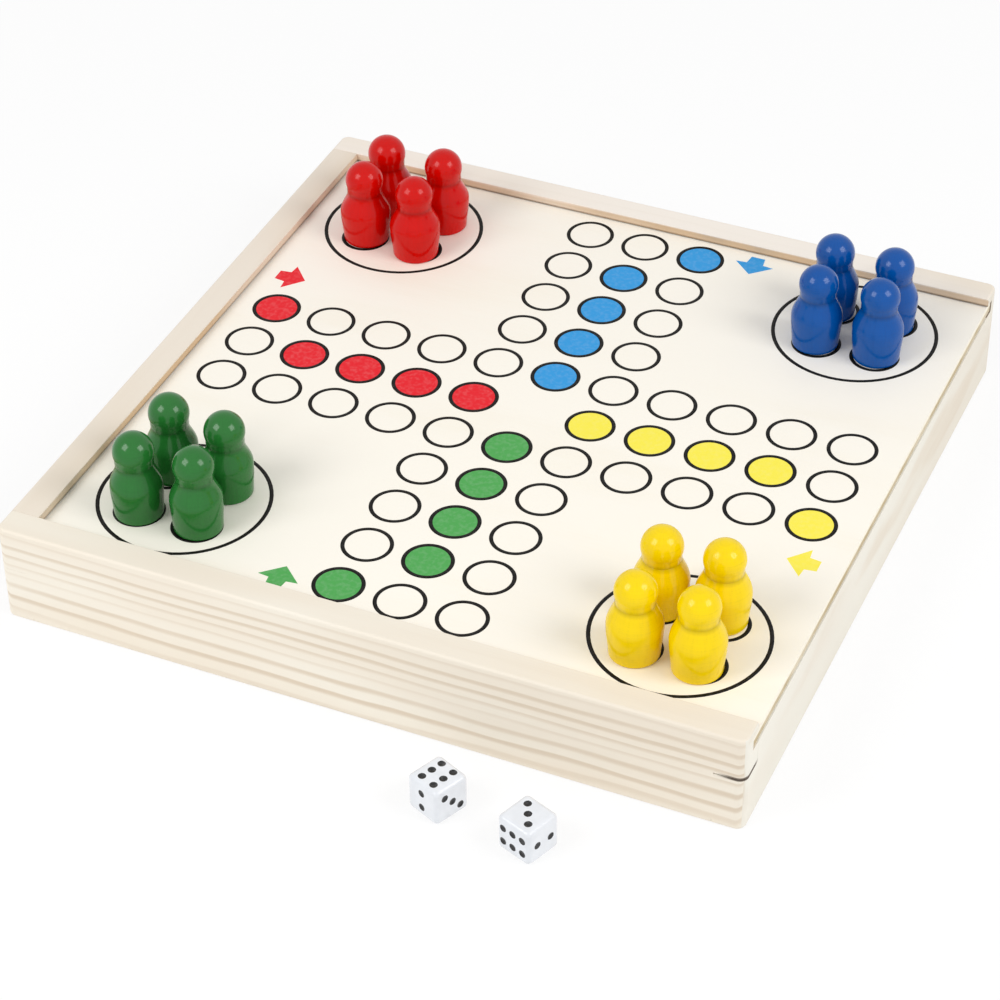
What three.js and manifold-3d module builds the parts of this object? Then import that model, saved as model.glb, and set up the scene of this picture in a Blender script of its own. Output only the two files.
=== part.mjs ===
// Travel board game in a flat wooden case. The printed plywood board is the case's sliding lid: it runs
// in grooves under the rims of the front, back and left walls and leaves over the lowered right wall.
// Sixteen turned pawns stand on the board's home circles, and two dice lie in front of the case.
// Millimetres. Origin at the middle of the case's underside, +X to the right, +Y to the back, +Z up.

import * as THREE from 'three';
import { mergeVertices } from 'three/addons/utils/BufferGeometryUtils.js';
import { RoundedBoxGeometry } from 'three/addons/geometries/RoundedBoxGeometry.js';
import Module from 'manifold-3d';

const wasm = await Module();
wasm.setup();

// Case
const caseWidth = 200;
const caseDepth = 200;
const caseHeight = 28.5;
const wallThickness = 8;
const caseCornerRadius = 2.4;
const caseEdgeRounding = 0.8;
const fingerHeight = 16; // the side walls' corner fingers reach up to here, the front and back walls' lie on them
const fingerSeam = 0.3;

// Board, which is the lid
const boardThickness = 3;
const rimHeight = 2.7; // the walls' rims stand this far above the board's printed face
const grooveDepth = 3.5;
const boardClearance = 0.3;
const boardSetback = 0.3; // of its bare end from the case's right face

// Base panel
const baseThickness = 3;
const baseSeatWidth = 4; // of the rabbet in each wall that takes the panel
const baseClearance = 0.3;

// Pawns
const pawnHeight = 24.5;
const pawnHeadDiameter = 10.6;
const pawnNeckDiameter = 9.7;
const pawnNeckHeight = 14.2; // where the shoulder meets the neck
const pawnBodyDiameter = 14.2;
const pawnBodyHeight = 7.8; // where the body is widest
const pawnBaseDiameter = 12.6;
const pawnBaseRounding = 0.5;
const pawnShoulderLip = 0.25; // the shoulder ends this much outside the neck
const pawnGap = 2.8; // between neighbours' bodies where they stand in the middle of their small circles
const homeInset = 33; // from the case's faces to a home's middle, before the print's shift
const printShift = 3.1; // the print's middle lies this far right of the case's middle

// Dice
const dieEdge = 10.4;
const dieRounding = 1.4;
const pipDiameter = 2.1;
const pipFloorDiameter = 1.4;
const pipDepth = 0.3;
const pipRowPitch = 3.1; // along the six's rows of three
const pipRowOffset = 2.05; // of those rows from the face's middle
const pipDiagonalOffset = 2.4; // of the three's and five's outer pips from the face's middle, both ways
const pipPairOffset = 2.2; // of the two's pips from the face's middle
const pipSquareOffset = 2.1; // of the four's pips from the face's middle, both ways
const dieAhead = 20; // the first die's middle lies this far in front of the case
const dieSpacing = 24.8;
const dieStagger = 3.8; // the second lies this much further forward
const firstDieRight = 30.5; // of the case's middle
const firstDieTurn = -0.42;
const secondDieTurn = -0.364;

// Facets and the overrun of a cut past the face that it opens
const cutOverrun = 1;
const cornerFacets = 3;
const edgeFacets = 2;
const pawnFacets = 20;
const shoulderFacets = 4;
const headFacets = 5;
const dieFacets = 2;
const pipFacets = 8;

const halfWidth = caseWidth / 2;
const halfDepth = caseDepth / 2;
const innerHalfWidth = halfWidth - wallThickness;
const innerHalfDepth = halfDepth - wallThickness;
const boardTop = caseHeight - rimHeight;
const boardUnderside = boardTop - boardThickness;
const grooveFloor = boardUnderside - boardClearance;
const grooveRoof = boardTop + boardClearance;

// Solids

function solidFrom(geometry) {
  const bare = geometry.index ? geometry.toNonIndexed() : geometry.clone();
  bare.deleteAttribute('normal');
  bare.deleteAttribute('uv');
  const merged = mergeVertices(bare);
  return new wasm.Manifold(new wasm.Mesh({
    numProp: 3,
    vertProperties: new Float32Array(merged.attributes.position.array),
    triVerts: new Uint32Array(merged.index.array),
  }));
}

function geometryFrom(solid) {
  const mesh = solid.getMesh();
  const geometry = new THREE.BufferGeometry();
  geometry.setAttribute('position', new THREE.BufferAttribute(new Float32Array(mesh.vertProperties), 3));
  geometry.setIndex(new THREE.BufferAttribute(new Uint32Array(mesh.triVerts), 1));
  geometry.computeVertexNormals();
  return geometry;
}

// A block between two corners.
function block(low, high) {
  const [width, depth, height] = high.map((value, axis) => value - low[axis]);
  const geometry = new THREE.BoxGeometry(width, depth, height);
  geometry.translate(...low.map((value, axis) => (value + high[axis]) / 2));
  return solidFrom(geometry);
}

// The whole case's outer form, with its rounded upright corners and eased rims. The walls are cut from it.
function caseEnvelope() {
  const x = halfWidth;
  const y = halfDepth;
  const r = caseCornerRadius;
  const outline = new THREE.Shape();
  outline.absarc(x - r, y - r, r, 0, Math.PI / 2);
  outline.absarc(r - x, y - r, r, Math.PI / 2, Math.PI);
  outline.absarc(r - x, r - y, r, Math.PI, 1.5 * Math.PI);
  outline.absarc(x - r, r - y, r, 1.5 * Math.PI, 2 * Math.PI);
  const geometry = new THREE.ExtrudeGeometry(outline, {
    depth: caseHeight - 2 * caseEdgeRounding,
    curveSegments: cornerFacets,
    bevelThickness: caseEdgeRounding,
    bevelSize: caseEdgeRounding,
    bevelOffset: -caseEdgeRounding,
    bevelSegments: edgeFacets,
  });
  geometry.translate(0, 0, caseEdgeRounding);
  return solidFrom(geometry);
}

const envelope = caseEnvelope();

// The room that the board slides in, open to the right, and the rabbet that the base panel is set in.
const boardRoom = block(
  [-innerHalfWidth - grooveDepth, -innerHalfDepth - grooveDepth, grooveFloor],
  [halfWidth + cutOverrun, innerHalfDepth + grooveDepth, grooveRoof],
);
const baseRoom = block(
  [-innerHalfWidth - baseSeatWidth, -innerHalfDepth - baseSeatWidth, -cutOverrun],
  [innerHalfWidth + baseSeatWidth, innerHalfDepth + baseSeatWidth, baseThickness],
);

// The front and back walls are short below, between the side walls' fingers, and full length above them.
function lengthwiseWall(side) {
  const [lowY, highY] = side < 0 ? [-halfDepth, -innerHalfDepth] : [innerHalfDepth, halfDepth];
  const lower = block([-innerHalfWidth, lowY, 0], [innerHalfWidth, highY, fingerHeight + fingerSeam]);
  const upper = block([-halfWidth, lowY, fingerHeight + fingerSeam], [halfWidth, highY, caseHeight]);
  return envelope.intersect(lower.add(upper)).subtract(boardRoom).subtract(baseRoom);
}

// The side walls are full length below and fit between the front and back walls above their fingers.
function crosswiseWall(side, top) {
  const [lowX, highX] = side < 0 ? [-halfWidth, -innerHalfWidth] : [innerHalfWidth, halfWidth];
  const lower = block([lowX, -halfDepth, 0], [highX, halfDepth, fingerHeight]);
  const upper = block([lowX, -innerHalfDepth, 0], [highX, innerHalfDepth, top]);
  return envelope.intersect(lower.add(upper)).subtract(boardRoom).subtract(baseRoom);
}

function boardGeometry() {
  const sideEdge = innerHalfDepth + grooveDepth - boardClearance;
  return geometryFrom(block(
    [-innerHalfWidth - grooveDepth + boardClearance, -sideEdge, boardUnderside],
    [halfWidth - boardSetback, sideEdge, boardTop],
  ));
}

function baseGeometry() {
  const x = innerHalfWidth + baseSeatWidth - baseClearance;
  const y = innerHalfDepth + baseSeatWidth - baseClearance;
  return geometryFrom(block([-x, -y, 0], [x, y, baseThickness]));
}

// A pawn's half outline from the axis at its foot to the axis at its crown: a body that widens upwards,
// a shoulder that slopes in to a short straight neck, and a ball head.
function pawnOutline() {
  const baseRadius = pawnBaseDiameter / 2;
  const bodyRadius = pawnBodyDiameter / 2;
  const neckRadius = pawnNeckDiameter / 2;
  const headRadius = pawnHeadDiameter / 2;
  const headMiddle = pawnHeight - headRadius;
  const shoulderTopRadius = neckRadius + pawnShoulderLip;
  const points = [
    new THREE.Vector2(0, 0),
    new THREE.Vector2(baseRadius - pawnBaseRounding, 0),
    new THREE.Vector2(baseRadius, pawnBaseRounding),
  ];
  for (let i = 0; i <= shoulderFacets; i++) {
    const rise = i / shoulderFacets;
    points.push(new THREE.Vector2(
      shoulderTopRadius + (bodyRadius - shoulderTopRadius) * Math.cos(rise * Math.PI / 2),
      pawnBodyHeight + (pawnNeckHeight - pawnBodyHeight) * rise,
    ));
  }
  points.push(new THREE.Vector2(neckRadius, pawnNeckHeight));
  const neckTurn = Math.asin(neckRadius / headRadius);
  for (let i = 0; i < headFacets; i++) {
    const turn = neckTurn + (i / headFacets) * (Math.PI - neckTurn);
    points.push(new THREE.Vector2(headRadius * Math.sin(turn), headMiddle - headRadius * Math.cos(turn)));
  }
  points.push(new THREE.Vector2(0, pawnHeight));
  return points;
}

function pawnGeometry() {
  const geometry = new THREE.LatheGeometry(pawnOutline(), pawnFacets);
  geometry.rotateX(Math.PI / 2);
  return geometryFrom(solidFrom(geometry));
}

// A cutter for one pip, its mouth at the origin and its floor below.
function pipCutter() {
  const slope = (pipDiameter - pipFloorDiameter) / pipDepth;
  const length = pipDepth + cutOverrun;
  const mouthRadius = (pipDiameter + slope * cutOverrun) / 2;
  const geometry = new THREE.CylinderGeometry(mouthRadius, pipFloorDiameter / 2, length, pipFacets);
  geometry.translate(0, length / 2 - pipDepth, 0);
  return geometry;
}

// The places of a face's pips, from its middle.
const pipPlaces = {
  1: [[0, 0]],
  2: [[0, -pipPairOffset], [0, pipPairOffset]],
  3: [[-pipDiagonalOffset, -pipDiagonalOffset], [0, 0], [pipDiagonalOffset, pipDiagonalOffset]],
  4: [-1, 1].flatMap((a) => [-1, 1].map((b) => [a * pipSquareOffset, b * pipSquareOffset])),
  5: [-1, 1].flatMap((a) => [-1, 1].map((b) => [a * pipDiagonalOffset, b * pipDiagonalOffset])).concat([[0, 0]]),
  6: [-1, 1].flatMap((a) => [-1, 0, 1].map((b) => [a * pipRowOffset, b * pipRowPitch])),
};

// Each face of a die: its count of pips, its outward direction and the direction that its rows run along.
const dieFaces = [
  { pips: 6, outward: [0, 0, 1], rows: [0, 1, 0] },
  { pips: 1, outward: [0, 0, -1], rows: [0, 1, 0] },
  { pips: 2, outward: [0, -1, 0], rows: [0, 0, 1] },
  { pips: 5, outward: [0, 1, 0], rows: [0, 0, 1] },
  { pips: 3, outward: [1, 0, 0], rows: [0, 0, 1] },
  { pips: 4, outward: [-1, 0, 0], rows: [0, 0, 1] },
];

function dieGeometry() {
  let die = solidFrom(new RoundedBoxGeometry(dieEdge, dieEdge, dieEdge, dieFacets, dieRounding));
  for (const { pips, outward, rows } of dieFaces) {
    const up = new THREE.Vector3(...outward);
    const along = new THREE.Vector3(...rows);
    const across = new THREE.Vector3().crossVectors(up, along);
    for (const [a, b] of pipPlaces[pips]) {
      const mouth = up.clone().multiplyScalar(dieEdge / 2).addScaledVector(across, a).addScaledVector(along, b);
      const place = new THREE.Matrix4().makeBasis(along, up, across.clone().negate()).setPosition(mouth);
      die = die.subtract(solidFrom(pipCutter().applyMatrix4(place)));
    }
  }
  return geometryFrom(die);
}

// Finishes

const finishes = {
  pine: new THREE.MeshStandardMaterial({ color: 0xeed9b6, roughness: 0.62, metalness: 0 }),
  plywood: new THREE.MeshStandardMaterial({ color: 0xf3e7cb, roughness: 0.55, metalness: 0 }),
  red: new THREE.MeshStandardMaterial({ color: 0xc4161c, roughness: 0.25, metalness: 0 }),
  blue: new THREE.MeshStandardMaterial({ color: 0x1450a5, roughness: 0.25, metalness: 0 }),
  green: new THREE.MeshStandardMaterial({ color: 0x22793c, roughness: 0.25, metalness: 0 }),
  yellow: new THREE.MeshStandardMaterial({ color: 0xf6d000, roughness: 0.25, metalness: 0 }),
  dieWhite: new THREE.MeshStandardMaterial({ color: 0xf2f3f6, roughness: 0.3, metalness: 0 }),
};

const game = new THREE.Group();

function addPiece(name, geometry, material, parent = game) {
  const mesh = new THREE.Mesh(geometry, material);
  mesh.name = name;
  parent.add(mesh);
  return mesh;
}

addPiece('front_wall', geometryFrom(lengthwiseWall(-1)), finishes.pine);
addPiece('back_wall', geometryFrom(lengthwiseWall(1)), finishes.pine);
addPiece('left_wall', geometryFrom(crosswiseWall(-1, caseHeight)), finishes.pine);
addPiece('right_wall', geometryFrom(crosswiseWall(1, grooveFloor)), finishes.pine);
addPiece('base_panel', baseGeometry(), finishes.plywood);
addPiece('game_board', boardGeometry(), finishes.plywood);

// Each home's corner of the board, and how far each pawn stands off the middle of its small circle, as
// shares of the gap between pawns: back, right, left and front pawn.
const homes = [
  { colour: 'red', across: -1, along: 1,
    slipShares: [[0, -1.17], [0.29, -1.33], [0.03, -0.42], [-0.3, -0.98]] },
  { colour: 'blue', across: 1, along: 1,
    slipShares: [[-0.25, -0.55], [-0.29, -0.61], [0, -0.06], [0.01, 0.11]] },
  { colour: 'green', across: -1, along: -1,
    slipShares: [[0.45, -0.36], [0.28, -0.81], [0.26, -0.56], [0.12, -0.34]] },
  { colour: 'yellow', across: 1, along: -1,
    slipShares: [[0.48, -0.52], [-0.03, -0.12], [0.59, -0.84], [0.18, -0.67]] },
];
const circles = [[-1, 1], [1, 1], [-1, -1], [1, -1]];
const homeHalfSpacing = (pawnBodyDiameter + pawnGap) / 2;

for (const { colour, across, along, slipShares } of homes) {
  slipShares.forEach(([slipAcross, slipAlong], index) => {
    const [toSide, toBack] = circles[index];
    const pawn = addPiece(`pawn_${colour}_${index + 1}`, pawnGeometry(), finishes[colour]);
    pawn.position.set(
      printShift + across * (halfWidth - homeInset) + toSide * homeHalfSpacing + slipAcross * pawnGap,
      along * (halfDepth - homeInset) + toBack * homeHalfSpacing + slipAlong * pawnGap,
      boardTop,
    );
  });
}

// The dice lie on the ground in front of the case. The second shows its three on top.
function addDie(name, x, y, turn, roll) {
  const lying = new THREE.Group();
  lying.position.set(x, y, dieEdge / 2);
  lying.rotation.z = turn;
  game.add(lying);
  const geometry = dieGeometry();
  if (roll) geometry.applyMatrix4(roll);
  addPiece(name, geometry, finishes.dieWhite, lying);
}

// A third of a turn about the die's corner diagonal: X to Z, Y to -X and Z to -Y.
const thirdOfATurn = new THREE.Matrix4().makeBasis(
  new THREE.Vector3(0, 0, 1),
  new THREE.Vector3(-1, 0, 0),
  new THREE.Vector3(0, -1, 0),
);
const dieRow = -halfDepth - dieAhead;
addDie('die_1', firstDieRight, dieRow, firstDieTurn);
addDie('die_2', firstDieRight + dieSpacing, dieRow - dieStagger, secondDieTurn, thirdOfATurn);

export default game;
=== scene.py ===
import math

import bmesh
import bpy
from mathutils import Euler, Matrix, Vector


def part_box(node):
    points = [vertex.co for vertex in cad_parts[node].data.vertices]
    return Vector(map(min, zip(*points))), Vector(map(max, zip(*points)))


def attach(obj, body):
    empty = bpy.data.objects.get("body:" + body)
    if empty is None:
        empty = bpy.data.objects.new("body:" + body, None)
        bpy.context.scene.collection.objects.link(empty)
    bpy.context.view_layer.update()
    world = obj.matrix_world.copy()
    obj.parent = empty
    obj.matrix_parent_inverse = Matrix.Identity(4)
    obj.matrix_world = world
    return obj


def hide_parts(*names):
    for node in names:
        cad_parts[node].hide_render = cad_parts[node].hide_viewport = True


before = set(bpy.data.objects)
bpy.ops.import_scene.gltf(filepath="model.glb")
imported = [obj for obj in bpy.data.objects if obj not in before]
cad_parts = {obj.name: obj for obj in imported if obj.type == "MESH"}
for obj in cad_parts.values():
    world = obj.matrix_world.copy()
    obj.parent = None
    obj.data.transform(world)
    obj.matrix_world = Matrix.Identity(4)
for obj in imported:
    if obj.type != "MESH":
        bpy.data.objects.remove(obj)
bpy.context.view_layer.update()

# Travel board game: a pine case whose printed plywood board is its sliding lid, with pawns and dice.
# Metres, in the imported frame: +X to the right, +Y to the back, +Z up, origin under the case's middle.

mm = 0.001


# Camera, floor and light

cameraLook = {
    "place": (0.25827, -0.59095, 0.5131),
    "tilt": 51.2192,  # degrees about X, Y and Z
    "roll": 0.5519,
    "pan": 23.6694,
    "lens": 110.436,  # millimetres on a 36 mm square sensor
    "sensor": 36.0,
}

studio = {
    "skyStrength": 0.57,
    "lampDistance": 1.0,
    "lampSize": 0.46,
    "lampWatts": 3.5,
    "lampDirections": ((0.751, -0.092, 0.656), (-0.438, -0.605, 0.667)),
    "floorRadius": 3.0,
    "floorDrop": 0.02 * mm,
    "floorColour": (0.99, 0.99, 0.99),
    "floorGlow": 0.8,  # share of plain white in what the camera sees of the floor
}


def makeCamera():
    camera = bpy.data.cameras.new("photoCamera")
    camera.sensor_fit = "HORIZONTAL"
    camera.sensor_width = cameraLook["sensor"]
    camera.lens = cameraLook["lens"]
    camera.clip_start = 0.01
    camera.clip_end = 20
    holder = bpy.data.objects.new("photoCamera", camera)
    holder.location = cameraLook["place"]
    turns = [math.radians(cameraLook[turn]) for turn in ("tilt", "roll", "pan")]
    holder.rotation_euler = Euler(turns, "XYZ")
    bpy.context.scene.collection.objects.link(holder)
    bpy.context.scene.camera = holder


makeCamera()
print("camera placed")


# Shader maths: a number socket that takes part in Python expressions

class Amount:
    def __init__(self, finish, socket):
        self.finish = finish
        self.socket = socket

    def maths(self, operation, *others):
        inputs = dict(enumerate((self, *others)))
        return self.finish.amount("ShaderNodeMath", {"operation": operation}, inputs)

    def __add__(self, other):
        return self.maths("ADD", other)

    def __radd__(self, other):
        return self.maths("ADD", other)

    def __sub__(self, other):
        return self.maths("SUBTRACT", other)

    def __rsub__(self, other):
        return self.finish.number(other).maths("SUBTRACT", self)

    def __mul__(self, other):
        return self.maths("MULTIPLY", other)

    def __rmul__(self, other):
        return self.maths("MULTIPLY", other)

    def __truediv__(self, other):
        return self.maths("DIVIDE", other)

    def __pow__(self, other):
        return self.maths("POWER", other)

    def fraction(self):
        return self.maths("FRACT")

    def size(self):
        return self.maths("ABSOLUTE")

    def root(self):
        return self.maths("SQRT")

    def rise(self, low, high):  # 0 below low, 1 above high, smooth between them
        settings = {"interpolation_type": "SMOOTHSTEP"}
        inputs = {"Value": self, "From Min": low, "From Max": high}
        return self.finish.amount("ShaderNodeMapRange", settings, inputs)


class Finish:
    def __init__(self, name, **constants):
        self.material = bpy.data.materials.new(name)
        self.material.use_nodes = True
        self.nodes = self.material.node_tree.nodes
        self.links = self.material.node_tree.links
        self.surface = self.nodes["Principled BSDF"]
        for socket, value in constants.items():
            self.surface.inputs[socket.replace("_", " ")].default_value = value

    def node(self, kind, settings=None, inputs=None):
        made = self.nodes.new(kind)
        for setting, value in (settings or {}).items():
            setattr(made, setting, value)
        for socket, value in (inputs or {}).items():
            self.feed(made.inputs[socket], value)
        return made

    def feed(self, socket, value):
        if isinstance(value, Amount):
            value = value.socket
        if isinstance(value, bpy.types.NodeSocket):
            self.links.new(value, socket)
        elif hasattr(value, "__len__") and socket.type == "RGBA" and len(value) == 3:
            socket.default_value = (*value, 1)
        else:
            socket.default_value = value

    def amount(self, kind, settings=None, inputs=None, output=0):
        return Amount(self, self.node(kind, settings, inputs).outputs[output])

    def number(self, value):
        made = self.node("ShaderNodeValue")
        made.outputs[0].default_value = value
        return Amount(self, made.outputs[0])

    def objectPlace(self, shift=(0, 0, 0)):
        place = self.node("ShaderNodeTexCoord").outputs["Object"]
        return self.node("ShaderNodeMapping", None, {"Vector": place, "Location": shift}).outputs[0]

    def parts(self, vector):
        split = self.node("ShaderNodeSeparateXYZ", None, {"Vector": vector})
        return [Amount(self, output) for output in split.outputs]

    def vector(self, x, y, z):
        return self.node("ShaderNodeCombineXYZ", None, {"X": x, "Y": y, "Z": z}).outputs[0]

    def noise(self, vector, scale, detail=2.0, roughness=0.5):
        inputs = {"Vector": vector, "Scale": scale, "Detail": detail, "Roughness": roughness}
        return self.amount("ShaderNodeTexNoise", None, inputs)

    def blend(self, amount, first, second, mode="MIX"):
        settings = {"data_type": "RGBA", "blend_type": mode}
        return self.node("ShaderNodeMix", settings, {0: amount, 6: first, 7: second}).outputs[2]

    def bump(self, height, strength, distance):
        inputs = {"Height": height, "Strength": strength, "Distance": distance}
        return self.node("ShaderNodeBump", None, inputs).outputs[0]

    def paint(self, **sockets):
        for socket, value in sockets.items():
            self.feed(self.surface.inputs[socket.replace("_", " ")], value)
        return self.material


def linear(*colour):  # from the 0 to 255 values that a picture shows
    return tuple(((c / 255 + 0.055) / 1.055) ** 2.4 if c > 10 else c / 255 / 12.92 for c in colour)


# Mesh helpers

fine = {
    "weld": 0.001 * mm,  # vertices this near are one
    "touching": 0.01 * mm,
    "sharpAngle": 40,  # degrees
    "smoothAngle": 32,
    "edgeSegments": 2,
}


def meshObject(name, mesh):
    made = bpy.data.objects.new(name, mesh)
    bpy.context.scene.collection.objects.link(made)
    return made


def fromBmesh(name, shape):
    mesh = bpy.data.meshes.new(name)
    bmesh.ops.recalc_face_normals(shape, faces=shape.faces)
    shape.to_mesh(mesh)
    shape.free()
    return meshObject(name, mesh)


def settled(source, name):  # the object's mesh with its modifiers applied, as a new object
    graph = bpy.context.evaluated_depsgraph_get()
    mesh = bpy.data.meshes.new_from_object(source.evaluated_get(graph), preserve_all_data_layers=True,
                                           depsgraph=graph)
    mesh.name = name
    old = source.data
    bpy.data.objects.remove(source)
    if isinstance(old, bpy.types.Mesh) and old.users == 0:
        bpy.data.meshes.remove(old)
    return meshObject(name, mesh)


def tidied(thing):  # doubles merged and faces turned outwards
    shape = bmesh.new()
    shape.from_mesh(thing.data)
    bmesh.ops.remove_doubles(shape, verts=shape.verts, dist=fine["weld"])
    bmesh.ops.recalc_face_normals(shape, faces=shape.faces)
    shape.to_mesh(thing.data)
    shape.free()
    return thing


def softShaded(thing, angle):
    thing.data.shade_smooth()
    thing.data.set_sharp_from_angle(angle=math.radians(angle))


def flatFaced(thing, angle):  # shaded so that its broad faces stay flat beside their rounded edges
    softShaded(thing, angle)
    weighted = thing.modifiers.new("flatFaces", "WEIGHTED_NORMAL")
    weighted.keep_sharp = True
    return settled(thing, thing.name)


def boxShape(low, high):
    shape = bmesh.new()
    bmesh.ops.create_cube(shape, size=1)
    middle = [(a + b) / 2 for a, b in zip(low, high)]
    spans = [b - a for a, b in zip(low, high)]
    bmesh.ops.scale(shape, vec=spans, verts=shape.verts)
    bmesh.ops.translate(shape, vec=middle, verts=shape.verts)
    return shape


def block(name, low, high):
    return fromBmesh(name, boxShape(low, high))


def prism(name, outline, low, high, spot):  # spot turns a place on the outline and a depth into a point
    shape = bmesh.new()
    near, far = [[shape.verts.new(spot(a, b, depth)) for a, b in outline] for depth in (low, high)]
    shape.faces.new(near)
    shape.faces.new(far)
    for i in range(len(outline)):
        j = (i + 1) % len(outline)
        shape.faces.new((near[i], near[j], far[j], far[i]))
    return fromBmesh(name, shape)


def combined(thing, operation, tools, materialMode="INDEX"):
    for tool in tools:
        cut = thing.modifiers.new(operation, "BOOLEAN")
        cut.operation = operation
        cut.object = tool
        cut.solver = "EXACT"
        cut.material_mode = materialMode
    made = settled(thing, thing.name)
    for tool in tools:
        bpy.data.objects.remove(tool)
    return made


def rounded(shape, edges, width, segments, **settings):
    bmesh.ops.bevel(shape, geom=edges, offset=width, segments=segments, profile=0.5, affect="EDGES",
                    **settings)


def eased(thing, width, spared=None):  # sharp edges broken by a small round
    shape = bmesh.new()
    shape.from_mesh(thing.data)
    limit = math.radians(fine["sharpAngle"])
    sharp = [e for e in shape.edges if len(e.link_faces) == 2 and e.calc_face_angle() > limit]
    if spared:
        sharp = [e for e in sharp if not spared(e.verts[0].co, e.verts[1].co)]
    rounded(shape, sharp, width, fine["edgeSegments"], clamp_overlap=True)
    shape.to_mesh(thing.data)
    shape.free()
    return flatFaced(thing, fine["smoothAngle"])


def dress(thing, body, slotName, *materials):
    thing.data.materials.clear()
    for material in materials:
        thing.data.materials.append(material)
    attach(thing, body)


# Pine: growth rings round a pith far outside the wall, so the long grain and the end grain agree

pine = {
    "dark": (219, 204, 183),
    # the rims' inner faces: the sawn timber's tan together with painted shade
    "sawnAndShade": (205, 165, 112),
    # painted shade for the gap just above the board and inside the grooves
    "gap": (104, 76, 42),
    "seamAndShadow": (70, 48, 28),
    "ringPitch": 2.55 * mm,
    "ringWander": 4.0 * mm,
    "wander": (7, 24),  # noise scales along and across the grain, per metre, down to scorch
    "quickWander": (34, 120),
    "cloud": (9, 45),
    "patch": (16, 150),
    "fibre": (60, 2600),
    "scorch": (13, 15),
    "years": 210,
    "sawnDepth": 0.45 * mm,
    "gapHeight": 0.75 * mm,
    "seamHeight": 0.42 * mm,
    "seamReach": 5.0 * mm,  # the length along the front face of the dark seam and its painted shadow
    "planedEdge": 0.3 * mm,
    "calmTop": 1.0 * mm,  # the rims' top faces hardly show the rings
    "fibreDepth": 0.04 * mm,
    "roughness": 0.6,
}

# Each wall's grain direction, its pith across the wall and up, where its noise starts, its rings' strength,
# how much darker it gets to the right, and its plain wood's two tones
timbers = {
    "front_wall": {"lengthwise": True, "pith": (-0.083, -0.007), "start": (0.31, 0.12, 0.05), "strength": 0.8,
                   "fade": 0.2, "tones": ((243, 237, 224), (238, 228, 212))},
    "back_wall": {"lengthwise": True, "pith": (0.07, -0.02), "start": (0.71, 0.52, 0.25), "strength": 0.6,
                  "fade": 0.0, "tones": ((246, 238, 228), (241, 230, 214))},
    "left_wall": {"lengthwise": False, "pith": (-0.075, -0.01), "start": (0.14, 0.92, 0.65), "strength": 0.7,
                  "fade": 0.0, "tones": ((237, 227, 213), (230, 216, 197))},
    "right_wall": {"lengthwise": False, "pith": (0.058, 0.013), "start": (0.44, 0.36, 0.85), "strength": 0.5,
                   "fade": 0.0, "tones": ((236, 232, 221), (232, 225, 212))},
}


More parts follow.
